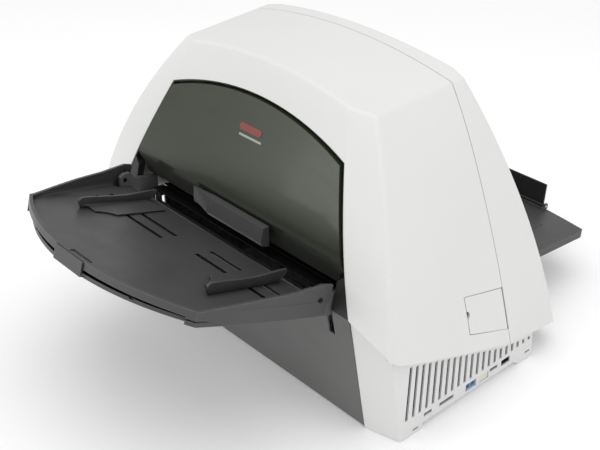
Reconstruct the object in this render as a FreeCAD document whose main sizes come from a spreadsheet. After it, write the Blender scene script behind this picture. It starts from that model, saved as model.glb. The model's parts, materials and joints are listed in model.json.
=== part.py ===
"""Desktop document scanner for large sheets: a hinged input tray with coupled side guides feeds a
sloping paper path inside a flared two-part housing, and the sheets land on a folding output tray.

Millimetres. +X is to the right seen from the front, -Y is the front, +Z is up. The machine is
designed about the middle of its housing, and every sub-part is shifted along Y by
Size.origin_shift, so that the origin lies on the floor under the middle of the whole machine.
"""
import FreeCAD, Part
import math
import os
import Sketcher
from FreeCAD import Placement, Rotation, Vector

doc = FreeCAD.newDocument("document_scanner")

# ---------------------------------------------------------------- driving dimensions
DRIVING = [
    ("origin_shift", 26.5, "middle of the housing, behind the origin"),
    ("wall", 3.0, "wall of the white housing"),
    ("gap", 0.4, "gap between parts that move past each other"),
    ("roof_z", 386.0, "height of the roof's front corners"),
    ("roof_half", 175.0, "half width at the roof's front corners"),
    ("roof_rise", 19.0, "rise of the roof's arch over its corners"),
    ("skirt_z", 148.0, "height of the widest point of the front corners"),
    ("skirt_half", 290.0, "half width at that point"),
    ("front_roof_y", -96.0, "front corner at roof height"),
    ("front_skirt_y", -177.0, "front corner at the widest point"),
    ("rear_roof_y", 49.0, "rear corner at roof height"),
    ("rear_skirt_y", 168.0, "rear corner at the lower edge"),
    ("rear_skirt_z", 30.0, "height of the rear lower edge"),
    ("facet", 11.0, "front face, ahead of its corners"),
    ("kink_z", 174.0, "top of the lower front panel"),
    ("kink_half", 225.0, "half width of the front opening there"),
    ("arch_z", 335.0, "height of the fascia's top corners"),
    ("arch_half", 162.0, "half width of the fascia there"),
    ("arch_rise", 28.0, "rise of the fascia's arched top edge"),
    ("proud", 2.5, "fascia, ahead of the front face"),
    ("cover_sheet", 3.0, "thickness of the fascia"),
    ("cover_axis_z", 325.0, "height of the fascia's pivot"),
    ("base_half", 277.0, "half width of the base at the floor"),
    ("base_front", -139.0, "front corners of the base"),
    ("base_rear", 119.0, "rear wall of the base"),
    ("floor_gap", 9.0, "height of the base's underside between its feet"),
    ("base_wall", 2.6, "wall of the base"),
    ("frame_half", 174.0, "inner face of the side frames"),
    ("frame_plate", 2.0, "side frame sheet"),
    ("vent_pitch", 12.15, "pitch of the cooling slots"),
    ("vent_width", 5.0, "width of a cooling slot"),
    ("shaft", 4.0, "radius of the roller shafts"),
    ("bearing", 4.05, "bore radius of the shaft bearings"),
    ("drive_roller", 12.0, "radius of the driven rollers"),
    ("idler_roller", 10.0, "radius of the pressure rollers"),
    ("pulley", 9.0, "radius of the belt pulleys"),
    ("path_z", 170.7, "height of the paper path at the feed rollers"),
    ("path_y", -120.0, "feed rollers"),
    ("path_slope", 16.44, "fall of the paper path towards the rear, degrees"),
    ("roller_pitch", 86.0, "spacing of the roller pairs along the path"),
    ("tray_tilt", 15.8, "tilt of the input tray, degrees"),
    ("tray_pin_y", -203.6, "hinge pins of the input tray"),
    ("tray_pin_z", 198.6, "hinge pins of the input tray"),
    ("tray_pin", 3.0, "radius of the hinge pins"),
    ("tray_half", 201.6, "half width of the input tray at its hinge"),
    ("tray_front_half", 173.2, "half width of the input tray at its front corners"),
    ("tray_heel", 10.6, "tray behind its hinge"),
    ("tray_side", 157.4, "hinge to front corner, along the tray"),
    ("tray_reach", 207.0, "hinge to the tip of the curved front edge"),
    ("tray_floor", 20.2, "hinge axis down to the underside of the tray"),
    ("tray_deck", 8.2, "hinge axis down to the tray's paper surface"),
    ("tray_rim", 1.9, "hinge axis down to the top of the tray's rim"),
    ("guide_x", 132.3, "outer face of the side guides"),
    ("guide_rows", 43.0, "hinge to the middle of the guide slots"),
    ("slot_row", 11.4, "guide slot rows, each side of that middle"),
    ("pinion_pitch", 8.0, "pitch radius of the guide pinion"),
    ("lift_travel", 28.0, "travel of the input tray's lift"),
    ("out_half", 200.0, "half width of the output tray"),
    ("out_hinge_y", 152.0, "hinge pins of the output tray"),
    ("out_hinge_z", 86.6, "hinge pins of the output tray"),
    ("out_side", 176.0, "hinge to the output tray's outer corners"),
    ("out_reach", 205.0, "hinge to the tip of the output tray's curved edge"),
    ("out_tilt", 4.4, "fall of the output tray towards the rear, degrees"),
    ("stop_at", 195.0, "hinge to the end stop's face"),
    ("stop_half", 117.0, "half width of the end stop"),
    ("stop_height", 40.0, "height of the end stop"),
]
sheet = doc.addObject("Spreadsheet::Sheet", "Size")
for row, (alias, value, meaning) in enumerate(DRIVING, start=1):
    sheet.set(f"A{row}", alias)
    sheet.set(f"B{row}", str(value))
    sheet.set(f"C{row}", meaning)
    sheet.setAlias(f"B{row}", alias)
doc.recompute()


def dim(alias):
    """A driving dimension's present value."""
    return float(sheet.get(alias))


def number(expression):
    """The present value of an expression on the sheet."""
    found = sheet.evalExpression(str(expression))
    return float(getattr(found, "Value", found))


# ---------------------------------------------------------------- building helpers
HOUSING = "Size.origin_shift"     # Y offset of what is placed in the machine
LOCAL = "0"                       # Y offset of what is designed about its own hinge
parts = {}
X_TURN = Rotation(Vector(0, 0, 1), Vector(1, 0, 0))
Y_TURN = Rotation(Vector(0, 0, 1), Vector(0, 1, 0))
TURNS = {"X": X_TURN, "Y": Y_TURN, "Z": Rotation()}


def place(obj, x, y, z, home):
    """Bind an object's position to the sheet."""
    obj.setExpression(".Placement.Base.x", str(x))
    obj.setExpression(".Placement.Base.y", f"({y}) + {home}")
    obj.setExpression(".Placement.Base.z", str(z))
    return obj


def box(low, size, home=HOUSING):
    """A block from its low corner and its size."""
    block = doc.addObject("Part::Box", "block")
    for name, expression in zip(("Length", "Width", "Height"), size):
        block.setExpression(name, str(expression))
    return place(block, *low, home)


def rod(axis, radius, start, length, home=HOUSING):
    """A cylinder along an axis, from the centre of its first face."""
    pin = doc.addObject("Part::Cylinder", "rod")
    pin.setExpression("Radius", str(radius))
    pin.setExpression("Height", str(length))
    pin.Placement = Placement(Vector(), TURNS[axis])
    return place(pin, *start, home)


def join(pieces):
    """Pieces fused into one shape."""
    if len(pieces) == 1:
        return pieces[0]
    union = doc.addObject("Part::MultiFuse", "union")
    union.Shapes = pieces
    return union


def group(pieces):
    """Separate solids kept in one sub-part."""
    kept = doc.addObject("Part::Compound", "group")
    kept.Links = pieces
    return kept


def cut(base, tools):
    """A shape less its tools."""
    rest = doc.addObject("Part::Cut", "rest")
    rest.Base = base
    rest.Tool = join(tools)
    return rest


def overlap(first, second):
    """What two shapes share."""
    shared = doc.addObject("Part::Common", "shared")
    shared.Base = first
    shared.Tool = second
    return shared


def outline(points, plane, home=HOUSING, at="0"):
    """A closed sketch whose corners are bound to the sheet. plane is YZ, XZ or XY."""
    drawing = doc.addObject("Sketcher::SketchObject", "outline")
    draw_polygon(drawing, points)
    if plane == "YZ":
        across_yz = Rotation(Vector(0, 1, 0), Vector(0, 0, 1), Vector(1, 0, 0), "ZXY")
        drawing.Placement = Placement(Vector(), across_yz)
        return place(drawing, at, "0", "0", home)
    if plane == "XZ":
        drawing.Placement = Placement(Vector(), Rotation(Vector(1, 0, 0), 90))
        return place(drawing, "0", at, "0", home)
    return place(drawing, "0", "0", at, home)


def draw_polygon(drawing, points):
    """Lines through the points, each corner held by expressions."""
    spots = [(number(across), number(up)) for across, up in points]
    count = len(spots)
    for index, (across, up) in enumerate(spots):
        following = spots[(index + 1) % count]
        drawing.addGeometry(Part.LineSegment(Vector(across, up, 0), Vector(*following, 0)), False)
    for index in range(count):
        drawing.addConstraint(Sketcher.Constraint("Coincident", index, 2, (index + 1) % count, 1))
    for index, corner in enumerate(points):
        for kind, value, expression in zip(("DistanceX", "DistanceY"), spots[index], corner):
            held = drawing.addConstraint(Sketcher.Constraint(kind, -1, 1, index, 1, value))
            drawing.setExpression(f"Constraints[{held}]", str(expression))


def prism(points, plane, length, home=HOUSING, at="0"):
    """A polygon pushed along its plane's normal: +X for YZ, -Y for XZ, +Z for XY."""
    push = doc.addObject("Part::Extrusion", "prism")
    push.Base = outline(points, plane, home, at)
    push.DirMode = "Normal"
    push.Solid = True
    push.setExpression("LengthFwd", str(length))
    return push


def free_shape(shape, label="shape", home=True):
    """A shape made by Part's own functions, placed after it is set."""
    feature = doc.addObject("Part::Feature", label)
    feature.Shape = shape if shape.Placement.isIdentity() else Part.makeCompound([shape])
    if home:
        feature.Placement = Placement(Vector(0, dim("origin_shift"), 0), Rotation())
    return feature


def body(label):
    """An empty PartDesign body, shifted with the machine."""
    made = doc.addObject("PartDesign::Body", label)
    made.setExpression(".Placement.Base.y", HOUSING)
    return made


def sketch_in(owner, role, points, offset="0"):
    """A polygon sketch on one of a body's origin planes."""
    drawing = owner.newObject("Sketcher::SketchObject", "sketch")
    plane = next(f for f in owner.Origin.OriginFeatures if f.Role == role)
    drawing.AttachmentSupport = [(plane, "")]
    drawing.MapMode = "FlatFace"
    drawing.setExpression(".AttachmentOffset.Base.z", str(offset))
    draw_polygon(drawing, points)
    return drawing


def pad(owner, drawing, length, both=False):
    """A sketch pushed into a solid."""
    solid = owner.newObject("PartDesign::Pad", "pad")
    solid.Profile = drawing
    solid.Midplane = both
    solid.setExpression("Length", str(length))
    doc.recompute()
    return solid


def pocket(owner, drawing, length, both=True):
    """A sketch cut from a body, each way from its plane."""
    before = owner.Shape.Volume
    hollow = owner.newObject("PartDesign::Pocket", "pocket")
    hollow.Profile = drawing
    hollow.Midplane = both
    hollow.setExpression("Length", str(length))
    doc.recompute()
    if owner.Shape.Volume >= before - 1:
        raise RuntimeError(f"{owner.Label}: a pocket cut nothing")
    return hollow


def keep(label, obj):
    """Name a finished sub-part."""
    obj.Label = label
    parts[label] = obj
    return obj


def tilted(label, obj, pin_y, pin_z, degrees):
    """Turn a sub-part designed about its own hinge into its place, its rear end going down."""
    obj.Placement = Placement(Vector(), Rotation(Vector(-1, 0, 0), number(degrees)))
    obj.setExpression(".Placement.Rotation.Angle", f"{degrees} * 1 deg")
    place(obj, "0", pin_y, pin_z, HOUSING)
    return keep(label, obj)


# ---------------------------------------------------------------- the housing's form
FORM_HEIGHTS = (10, 70, 130, 190, 250, 310, 370, 430)
SIDE_SAG = 14.3         # bulge of the side walls, between skirt and roof
FRONT_SAG = 11.0        # bulge of the front, between skirt and roof
REAR_TAPER = 0.74       # the rear flares this much as fast as the front
REAR_WIDER = 3.7        # the rear roof corners are further out than the front ones
REAR_FACET = (24.0, 8.0)
FORM_REACH = 330.0      # beyond the form on every side


def arc_height(low, high, sag, z):
    """Position, at height z, on the shallow arc from low to high (each as (position, height))."""
    span_p, span_z = high[0] - low[0], high[1] - low[1]
    chord = math.hypot(span_p, span_z)
    radius = (chord ** 2 / 4 + sag ** 2) / (2 * abs(sag))
    out = math.copysign(1.0, sag)
    unit = (out * span_z / chord, -out * span_p / chord)
    back = radius - abs(sag)
    centre_p = (low[0] + high[0]) / 2 - unit[0] * back
    centre_z = (low[1] + high[1]) / 2 - unit[1] * back
    return centre_p + out * math.sqrt(radius ** 2 - (z - centre_z) ** 2)


def front_half(z):
    """Half width of the front corners."""
    return arc_height((dim("skirt_half"), dim("skirt_z")), (dim("roof_half"), dim("roof_z")), SIDE_SAG, z)


def rear_half(z):
    """Half width of the rear corners."""
    flare = front_half(z - 10) - dim("roof_half")
    return dim("roof_half") + REAR_WIDER + REAR_TAPER * flare


def corner_y(z):
    """Depth of the front corners."""
    low = (dim("front_skirt_y"), dim("skirt_z"))
    high = (dim("front_roof_y"), dim("roof_z"))
    return arc_height(low, high, -FRONT_SAG, z)


def face_y(z):
    """Depth of the flat middle of the front."""
    return corner_y(z) - dim("facet") - max(0.0, z - dim("arch_z")) * 0.1


def rear_y(z):
    """Depth of the rear corners."""
    low = (dim("rear_skirt_y"), dim("rear_skirt_z"))
    high = (dim("rear_roof_y"), dim("roof_z") + 10)
    return low[0] + (high[0] - low[0]) * (z - low[1]) / (high[1] - low[1])


def face_half(z):
    """Half width of the flat middle of the front."""
    slope = (dim("kink_half") - dim("arch_half")) / (dim("arch_z") - dim("kink_z"))
    return dim("arch_half") + 3 + (dim("arch_z") - z) * slope


def form_section(z, inset):
    """The housing's outline at one height, moved inwards by inset."""
    side = inset * 1.12
    depth = inset * 1.06
    front = (front_half(z) - side, corner_y(z) + depth)
    middle = (face_half(z) - side * 0.2, face_y(z) + depth)
    rear = (rear_half(z) - side, rear_y(z) - depth)
    tail = (rear_half(z) - REAR_FACET[0] - side * 0.4, rear_y(z) + REAR_FACET[1] - depth)
    right = [middle, front, rear, tail]
    ring = [(x, y) for x, y in right] + [(-x, y) for x, y in reversed(right)]
    return Part.makePolygon([Vector(x, y, z) for x, y in ring] + [Vector(*ring[0], z)])


def roof_arc(y, inset):
    """The space under the roof in one X-Z plane."""
    rise, half = dim("roof_rise"), dim("roof_half")
    radius = (half ** 2 + rise ** 2) / (2 * rise)
    crown = dim("roof_z") + rise + (y - dim("front_roof_y")) * 0.0685 - inset
    edge = crown - radius + math.sqrt(radius ** 2 - FORM_REACH ** 2)
    ends = [Vector(-FORM_REACH, y, edge), Vector(FORM_REACH, y, edge)]
    feet = [Vector(FORM_REACH, y, 0), Vector(-FORM_REACH, y, 0)]
    arc = Part.Arc(ends[0], Vector(0, y, crown), ends[1]).toShape()
    lines = [Part.makeLine(a, b) for a, b in ((ends[1], feet[0]), (feet[0], feet[1]), (feet[1], ends[0]))]
    return Part.Wire([arc] + lines)


def housing_form(inset):
    """The whole flared form under its arched roof."""
    sides = Part.makeLoft([form_section(z, inset) for z in FORM_HEIGHTS], True, False)
    roof = Part.makeLoft([roof_arc(y, inset) for y in (-FORM_REACH, FORM_REACH)], True, True)
    return sides.common(roof).Solids[0]


def soften(shape, radius):
    """Round every long crease of the form, but not its open lower edge."""
    lowest = FORM_HEIGHTS[0] + 1
    creases = [edge for edge in shape.Edges if max(v.Point.z for v in edge.Vertexes) > lowest]
    return shape.makeFillet(radius, creases)


def slab_profile(depth, heights, tail):
    """The front face's profile, moved in by depth, then straight down through the tail's points."""
    points = [Vector(0, face_y(z) + depth, z) for z in heights]
    curve = Part.BSplineCurve()
    curve.interpolate(points)
    below = [points[0]] + [Vector(0, points[0].y + back, z) for back, z in tail]
    return [curve.toShape()] + [Part.makeLine(a, b) for a, b in zip(below, below[1:])], below[-1], points[-1]


def face_slab(near, far, low, high, half, tail=()):
    """A slab that follows the front face between two depths, across the machine."""
    heights = [low + (high - low) * step / 4 for step in range(5)]
    first, first_foot, first_head = slab_profile(near, heights, tail)
    second, second_foot, second_head = slab_profile(far, heights, tail)
    closing = [Part.makeLine(first_head, second_head), Part.makeLine(second_foot, first_foot)]
    face = Part.Face(Part.Wire(Part.__sortEdges__(first + second + closing)))
    face.translate(Vector(-half, 0, 0))
    return face.extrude(Vector(2 * half, 0, 0))


def opening_wire(margin, foot, step_at=None, step_half=None):
    """The front opening's outline moved in by margin: sloping sides under an arched top."""
    slope = (dim("kink_half") - dim("arch_half")) / (dim("arch_z") - dim("kink_z"))
    top = dim("arch_z") - margin
    head = Vector(dim("arch_half") - margin, 0, top)
    kink_z = dim("kink_z")
    if step_at is None:
        side = [Vector(dim("kink_half") - margin, 0, kink_z), Vector(dim("kink_half") - margin, 0, foot)]
    else:
        at_step = dim("arch_half") + slope * (dim("arch_z") - step_at) - margin
        side = [Vector(at_step, 0, step_at), Vector(step_half, 0, step_at - (at_step - step_half))]
        side.append(Vector(step_half, 0, foot))
    right = [head] + side
    left = [Vector(-v.x, 0, v.z) for v in reversed(right)]
    crown = Vector(0, 0, top + dim("arch_rise"))
    arc = Part.Arc(left[-1], crown, head).toShape()
    ring = right + left
    return Part.Wire([arc] + [Part.makeLine(a, b) for a, b in zip(ring, ring[1:])])


def opening_solid(margin, foot, **step):
    """That outline pushed through the front wall."""
    face = Part.Face(opening_wire(margin, foot, **step))
    face.translate(Vector(0, -FORM_REACH, 0))
    return face.extrude(Vector(0, FORM_REACH - 40, 0))


SEAM_Y = 28.0
SEAM_BEND = ((28.0, 300.0), (35.5, 180.0), (66.0, 20.0))


def behind_seam(shift):
    """All that lies behind the joint between the two housing shells."""
    bend = [Vector(0, y + shift, z) for y, z in SEAM_BEND]
    top = Vector(0, SEAM_Y + shift, FORM_HEIGHTS[-1] + 50)
    corners = [bend[0], top, Vector(0, FORM_REACH, top.z), Vector(0, FORM_REACH, -50)]
    corners += [Vector(0, bend[2].y, -50), bend[2]]
    edges = [Part.makeLine(a, b) for a, b in zip(corners, corners[1:])] + [Part.Arc(*bend).toShape()]
    face = Part.Face(Part.Wire(Part.__sortEdges__(edges)))
    face.translate(Vector(-FORM_REACH, 0, 0))
    return face.extrude(Vector(2 * FORM_REACH, 0, 0))


# ---------------------------------------------------------------- housing shells
CREASE = 8.0
SKIRT = [(-177, 146), (-164, 137), (-140, 127), (50, 57), (112, 44.5), (168, 33)]
WIDE = "660"


def skirt_height(y):
    """Height of the housing's sloping lower edge."""
    for (y0, z0), (y1, z1) in zip(SKIRT, SKIRT[1:]):
        if y <= y1:
            return z0 + (z1 - z0) * (y - y0) / (y1 - y0)
    return SKIRT[-1][1]


def below_skirt(drop):
    """Everything under the housing's lower edge, lowered by drop."""
    edge = [(y, z - drop) for y, z in SKIRT]
    points = [(-330, -60), (-330, 155 - drop)] + edge + [(330, -drop), (330, -60)]
    return prism(points, "YZ", WIDE, at="-330")


def below_kink(drop):
    """Everything ahead of the base's sides and under the front opening's lower corners."""
    top, low = f"Size.kink_z - {drop}", f"149.7 - {drop}"
    points = [("-283", "-60"), ("-283", low), ("-Size.kink_half", top)]
    points += [("Size.kink_half", top), ("283", low), ("283", "-60")]
    return prism(points, "XZ", "180", at="-150")


outer = free_shape(soften(housing_form(0), CREASE), "outer_form")
inner = free_shape(housing_form(dim("wall")), "inner_form")
shell = cut(outer, [inner, below_skirt(0), below_kink(0)])
seam_gap = 0.35
front_opening = free_shape(opening_solid(0, 100), "front_opening")

DOOR = [(-38, 165), (60, 139), (60, 76.5), (-32, 112)]
DOOR_X = "240"
DOOR_CLEARANCE = 0.9
DOOR_EDGE = 1.5         # radius of the door's round hinge edge
DOOR_EDGE_Y = -2.8      # its axis, ahead of the joint between the shells
DOOR_EDGE_ENDS = (84.5, 141.0)


def door_prism(margin):
    """The side door's outline, pushed through the right wall."""
    (y0, z0), (y1, z1), (y2, z2), (y3, z3) = DOOR
    points = [(y0 + margin, z0 - margin), (y1 - margin, z1 - margin)]
    points += [(y2 - margin, z2 + margin), (y3 + margin, z3 + margin)]
    return prism(points, "YZ", "60", at=DOOR_X)


def seam_at(z):
    """Depth of the joint between the shells, below its straight upper part."""
    (y0, z0), (y1, z1), (y2, z2) = SEAM_BEND
    circle = Part.Circle(Vector(y0, z0, 0), Vector(y1, z1, 0), Vector(y2, z2, 0))
    side = math.copysign(1.0, y1 - circle.Center.x)
    return circle.Center.x + side * math.sqrt(circle.Radius ** 2 - (z - circle.Center.y) ** 2)


def skin_x(y, z):
    """Half width of the housing's side wall at a depth and height."""
    along = (y - corner_y(z)) / (rear_y(z) - corner_y(z))
    return front_half(z) + (rear_half(z) - front_half(z)) * along


def door_edge():
    """The round hinge edge of the side door, just inside the housing's skin."""
    ends = []
    for z in DOOR_EDGE_ENDS:
        y = seam_at(z) + DOOR_EDGE_Y
        ends.append(Vector(skin_x(y, z) - DOOR_EDGE - 0.3, y, z))
    line = ends[1] - ends[0]
    return Part.makeCylinder(DOOR_EDGE, line.Length, ends[0], line)


seam_front = free_shape(behind_seam(-seam_gap), "seam_front")
keep("main_housing", cut(shell, [front_opening, seam_front, door_prism(0)]))
finger_notch = rod("X", "6", (DOOR_X, "-36", "139"), "60")
door_rear = free_shape(behind_seam(DOOR_EDGE_Y), "door_rear")
door_plate = cut(overlap(shell, door_prism(DOOR_CLEARANCE)), [door_rear, finger_notch])
keep("side_door", join([door_plate, free_shape(door_edge(), "door_edge")]))
exit_opening = box(("-209", "100", "62"), ("418", "120", "58"))
rear_shell = overlap(shell, free_shape(behind_seam(seam_gap), "seam_rear"))
keep("rear_housing", cut(rear_shell, [exit_opening]))

# ---------------------------------------------------------------- fascia, its frame and its grip
BEZEL_BAND = 1.2
BEZEL_DEPTH = 12.0
STRIP_TOP = 219.0
STRIP_HALF = 197.0
COVER_MARGIN = 3.6      # from the opening's edge to the fascia
COVER_RIM = 5.0         # depth of the fascia's side walls
COVER_STEP = 223.0      # its side edges turn inwards here, clear of the tray's walls
COVER_FOOT_HALF = 192.6
COVER_CREASE_Z = 234.0
COVER_TAIL = [(10.0, 199.0), (14.0, 194.5)]     # how far back, and height, below the crease
cover_axis_y = face_y(dim("cover_axis_z")) + 4.2

bezel_zone = free_shape(opening_solid(0.4, 150), "bezel_zone")
bezel_opening = opening_solid(BEZEL_BAND + 0.4, 100, step_at=STRIP_TOP, step_half=STRIP_HALF)
bezel_hole = free_shape(bezel_opening, "bezel_hole")
bezel_slab = free_shape(face_slab(1.0, BEZEL_DEPTH, dim("kink_z") + 0.6, 385, 240), "bezel_slab")
pin_y, pin_z = f"{cover_axis_y:.3f}", "Size.cover_axis_z"


def cover_pins():
    """The two pins that the fascia turns on."""
    return [rod("X", "2", (x, pin_y, pin_z), "16") for x in ("149", "-165")]


keep("cover_bezel", cut(overlap(bezel_zone, bezel_slab), [bezel_hole] + cover_pins()))
keep("cover_pivot_pins", group(cover_pins()))

near, far = -dim("proud"), dim("cover_sheet") - dim("proud")
COVER_TOP = 380
cover_block = free_shape(face_slab(near, far + COVER_RIM, COVER_CREASE_Z, COVER_TOP, 240, COVER_TAIL), "cover_block")
cover_hollow = free_shape(face_slab(far, far + 40, COVER_CREASE_Z, COVER_TOP, 240, COVER_TAIL), "cover_hollow")
cover_step = {"step_at": COVER_STEP, "step_half": COVER_FOOT_HALF}
cover_zone = free_shape(opening_solid(COVER_MARGIN, 150, **cover_step), "cover_zone")
hollow_step = {"step_at": COVER_STEP + 1, "step_half": COVER_FOOT_HALF - dim("cover_sheet")}
hollow_outline = opening_solid(COVER_MARGIN + dim("cover_sheet"), 150, **hollow_step)
hollow_zone = free_shape(hollow_outline, "hollow_zone")
cover_shell = cut(overlap(cover_block, cover_zone), [overlap(cover_hollow, hollow_zone)])
bosses = [rod("X", "5", (x, pin_y, pin_z), "9") for x in ("149.5", "-158.5")]
GRIP_LOW, GRIP_HIGH = -30.0, 76.0       # ends of the grip's bar
GRIP_TIP = -73.0                        # end of its tapered wing
GRIP_AXIS = ("-176.5", "221")
LUG_AT = (-10, 50)
lugs = [box((str(x), "-180.5", "216.5"), ("4", "16", "8.3")) for x in LUG_AT]
pin_foot = (str(LUG_AT[0] - 4), *GRIP_AXIS)
pin_span = str(LUG_AT[1] - LUG_AT[0] + 12)
cover_bores = [rod("X", "2.05", ("-170", pin_y, pin_z), "340"), rod("X", "1.5", pin_foot, pin_span)]
keep("front_cover", cut(join([cover_shell] + bosses + lugs), cover_bores))
keep("grip_pin", rod("X", "1.5", pin_foot, pin_span))
GRIP = [(-172.5, 229.5), (-182.0, 229.5), (-186.5, 211.0), (-184.5, 206.0), (-177.0, 202.0), (-172.5, 202.5)]
TIP = [(-172.5, 226.0), (-173.5, 226.0), (-174.0, 212.0), (-174.0, 208.0), (-173.5, 203.0), (-172.5, 203.0)]


def grip_section(x, corners):
    """The grip's outline at one place along it."""
    ring = [Vector(x, y, z) for y, z in corners]
    return Part.makePolygon(ring + [ring[0]])


grip_wing = Part.makeLoft([grip_section(GRIP_TIP, TIP), grip_section(GRIP_LOW, GRIP)], True, True)
grip_bar = Part.makeLoft([grip_section(x, GRIP) for x in (GRIP_LOW, GRIP_HIGH)], True, True)
grip_shape = free_shape(grip_wing.fuse(grip_bar), "grip")
lug_notches = [box((f"{x} - 0.6", "-182", "212.5"), ("5.2", "14", "13.8")) for x in LUG_AT]
grip_bore = rod("X", "1.55", (f"{LUG_AT[0]} - 5", *GRIP_AXIS), f"{pin_span} + 2")
keep("cover_grip", cut(grip_shape, lug_notches + [grip_bore]))
badge_ends = [rod("Y", "4.5", (x, "-200", "324"), "120") for x in ("-10", "22")]
badge_zone = join([box(("-10", "-200", "319.5"), ("32", "120", "9"))] + badge_ends)
badge_skin = face_slab(near - 0.8, near + 1, COVER_CREASE_Z, COVER_TOP, 60)
keep("badge_plate", cut(overlap(free_shape(badge_skin, "badge_skin"), badge_zone), [cover_block]))

# ---------------------------------------------------------------- base, lower panel and feet
BASE_TOP = 176.0
PANEL_TOP = ("-183", "Size.kink_z")
PANEL_FOOT = ("-151.5", "2")


def base_section(z, inset):
    """The base's outline at one height."""
    up = z / dim("kink_z")
    half, front, rear = dim("base_half"), dim("base_front"), dim("base_rear")
    right = [(229 - 4 * up - 0.4 * inset, -151.5 - 29 * up + inset)]
    right += [(half + 7 * up - inset, front - 37 * up + inset), (half - 10 * up - inset, rear - inset)]
    ring = right + [(-x, y) for x, y in reversed(right)]
    return Part.makePolygon([Vector(x, y, z) for x, y in ring] + [Vector(*ring[0], z)])


def base_form(low, inset):
    """The tapering block that the base is made from."""
    return Part.makeLoft([base_section(z, inset) for z in (low, BASE_TOP)], True, True)


base_block = free_shape(base_form(1.0, 0), "base_block")
base_hollow = free_shape(base_form(dim("floor_gap") + dim("base_wall"), dim("base_wall")), "base_hollow")
above_base = cut(box(("-330", "-330", "0"), ("660", "660", "400")), [below_skirt(1.2)])
above_corner = cut(above_base, [below_kink(0.4)])
seat_top = "Size.kink_z + 3"
panel_seat = [("-229.4", "-20"), ("229.4", "-20"), ("225.3", seat_top), ("-225.3", seat_top)]
side_recess = [("-100", "-1"), ("-100", "Size.floor_gap"), ("79", "Size.floor_gap"), ("94", "-1")]
between_feet = [
    prism(side_recess, "YZ", WIDE, at="-330"),
    box(("-226", "-200", "-1"), ("452", "120", "Size.floor_gap + 1")),
    box(("-246", "60", "-1"), ("492", "80", "Size.floor_gap + 1")),
]
base_cuts = [base_hollow, above_corner, prism(panel_seat, "XZ", "100", at="-146")] + between_feet
VENTS = 21
VENT_FOOT = 29.7
VENT_MARGIN = 11.0      # from the skirt down to the head of each slot
for index in range(VENTS):
    middle = dim("base_front") + 7 + dim("vent_pitch") * index
    rise = skirt_height(middle) - VENT_MARGIN - VENT_FOOT
    across = f"Size.base_front + 7 + Size.vent_pitch * {index} - Size.vent_width / 2"
    for side in ("255", "-285"):
        slot_size = ("30", "Size.vent_width", f"{max(rise, 5.0):.2f}")
        base_cuts.append(box((side, across, str(VENT_FOOT)), slot_size))
PORTS = {
    "small_slot": (-91.5, 20.3, 15, 5),
    "long_slot": (-56.5, 19.9, 27, 5.5),
    "data_connector": (-8.5, 17.8, 21, 11),
    "port_cover": (17.5, 17.3, 19, 11),
    "side_slot": (37, 20.8, 16, 5),
    "power_inlet": (62, 19.8, 18, 9),
}
for middle, height, wide, tall in PORTS.values():
    low = ("250", f"{middle} - {wide} / 2", f"{height} - {tall} / 2")
    base_cuts.append(box(low, ("40", str(wide), str(tall))))
FEET = [(255, -121), (262, 106)]
feet_at = [(x * side, y) for x, y in FEET for side in (1, -1)]
base_cuts += [rod("Z", "8", (str(x), str(y), "0"), "4") for x, y in feet_at]
keep("rubber_feet", group([rod("Z", "8", (str(x), str(y), "0"), "4") for x, y in feet_at]))
FOOT_SLOTS = [("-113", "7"), ("109", "12")]
for y, z in FOOT_SLOTS:
    for side in ("268", "-290"):
        base_cuts.append(box((side, f"{y} - 5", f"{z} - 1.5"), ("22", "10", "3")))
switch_cut = box(("-150", "Size.base_rear - 12", "26"), ("24", "20", "16"))
base_cuts.append(switch_cut)
EAR = ("5", "52", "66")
ears = [box((x, "108", "31"), EAR) for x in ("201.5", "-206.5")]
out_pin = ("Size.out_hinge_y", "Size.out_hinge_z")
ear_bores = [rod("X", "3", (x, *out_pin), "20") for x in ("190", "-210")]
keep("base_chassis", cut(join([cut(base_block, base_cuts)] + ears), ear_bores))

lower_panel = body("lower_front_panel")
panel_points = [PANEL_FOOT, ("-151.5 + 3", "2"), ("-183 + 3.1", "Size.kink_z"), PANEL_TOP]
pad(lower_panel, sketch_in(lower_panel, "YZ_Plane", panel_points), "458", both=True)
for side in (1, -1):
    trim = [("229", "0"), ("240", "0"), ("240", "180"), ("224.9", "Size.kink_z + 4")]
    slot = [("187.6", "136"), ("197", "136"), ("197", "180"), ("187.6", "180")]
    for hole in (trim, slot):
        corners = [(f"{side} * {across}", up) for across, up in hole]
        pocket(lower_panel, sketch_in(lower_panel, "XZ_Plane", corners, "165"), "80")
keep("lower_front_panel", lower_panel)

# ---------------------------------------------------------------- what plugs into the base
INSERT_X = "262"


def port_insert(name, depth, bores):
    """A connector body that fills its cut-out, with its own openings."""
    middle, height, wide, tall = PORTS[name]
    low = (INSERT_X, f"{middle} - {wide} / 2 + 0.2", f"{height} - {tall} / 2 + 0.2")
    shell_block = box(low, (str(depth), f"{wide} - 0.4", f"{tall} - 0.4"))
    tools = [box(("265", f"{middle} + {y} - {w} / 2", f"{height} + {z} - {t} / 2"), ("20", str(w), str(t)))
             for y, z, w, t in bores]
    return cut(shell_block, tools) if tools else shell_block


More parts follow.
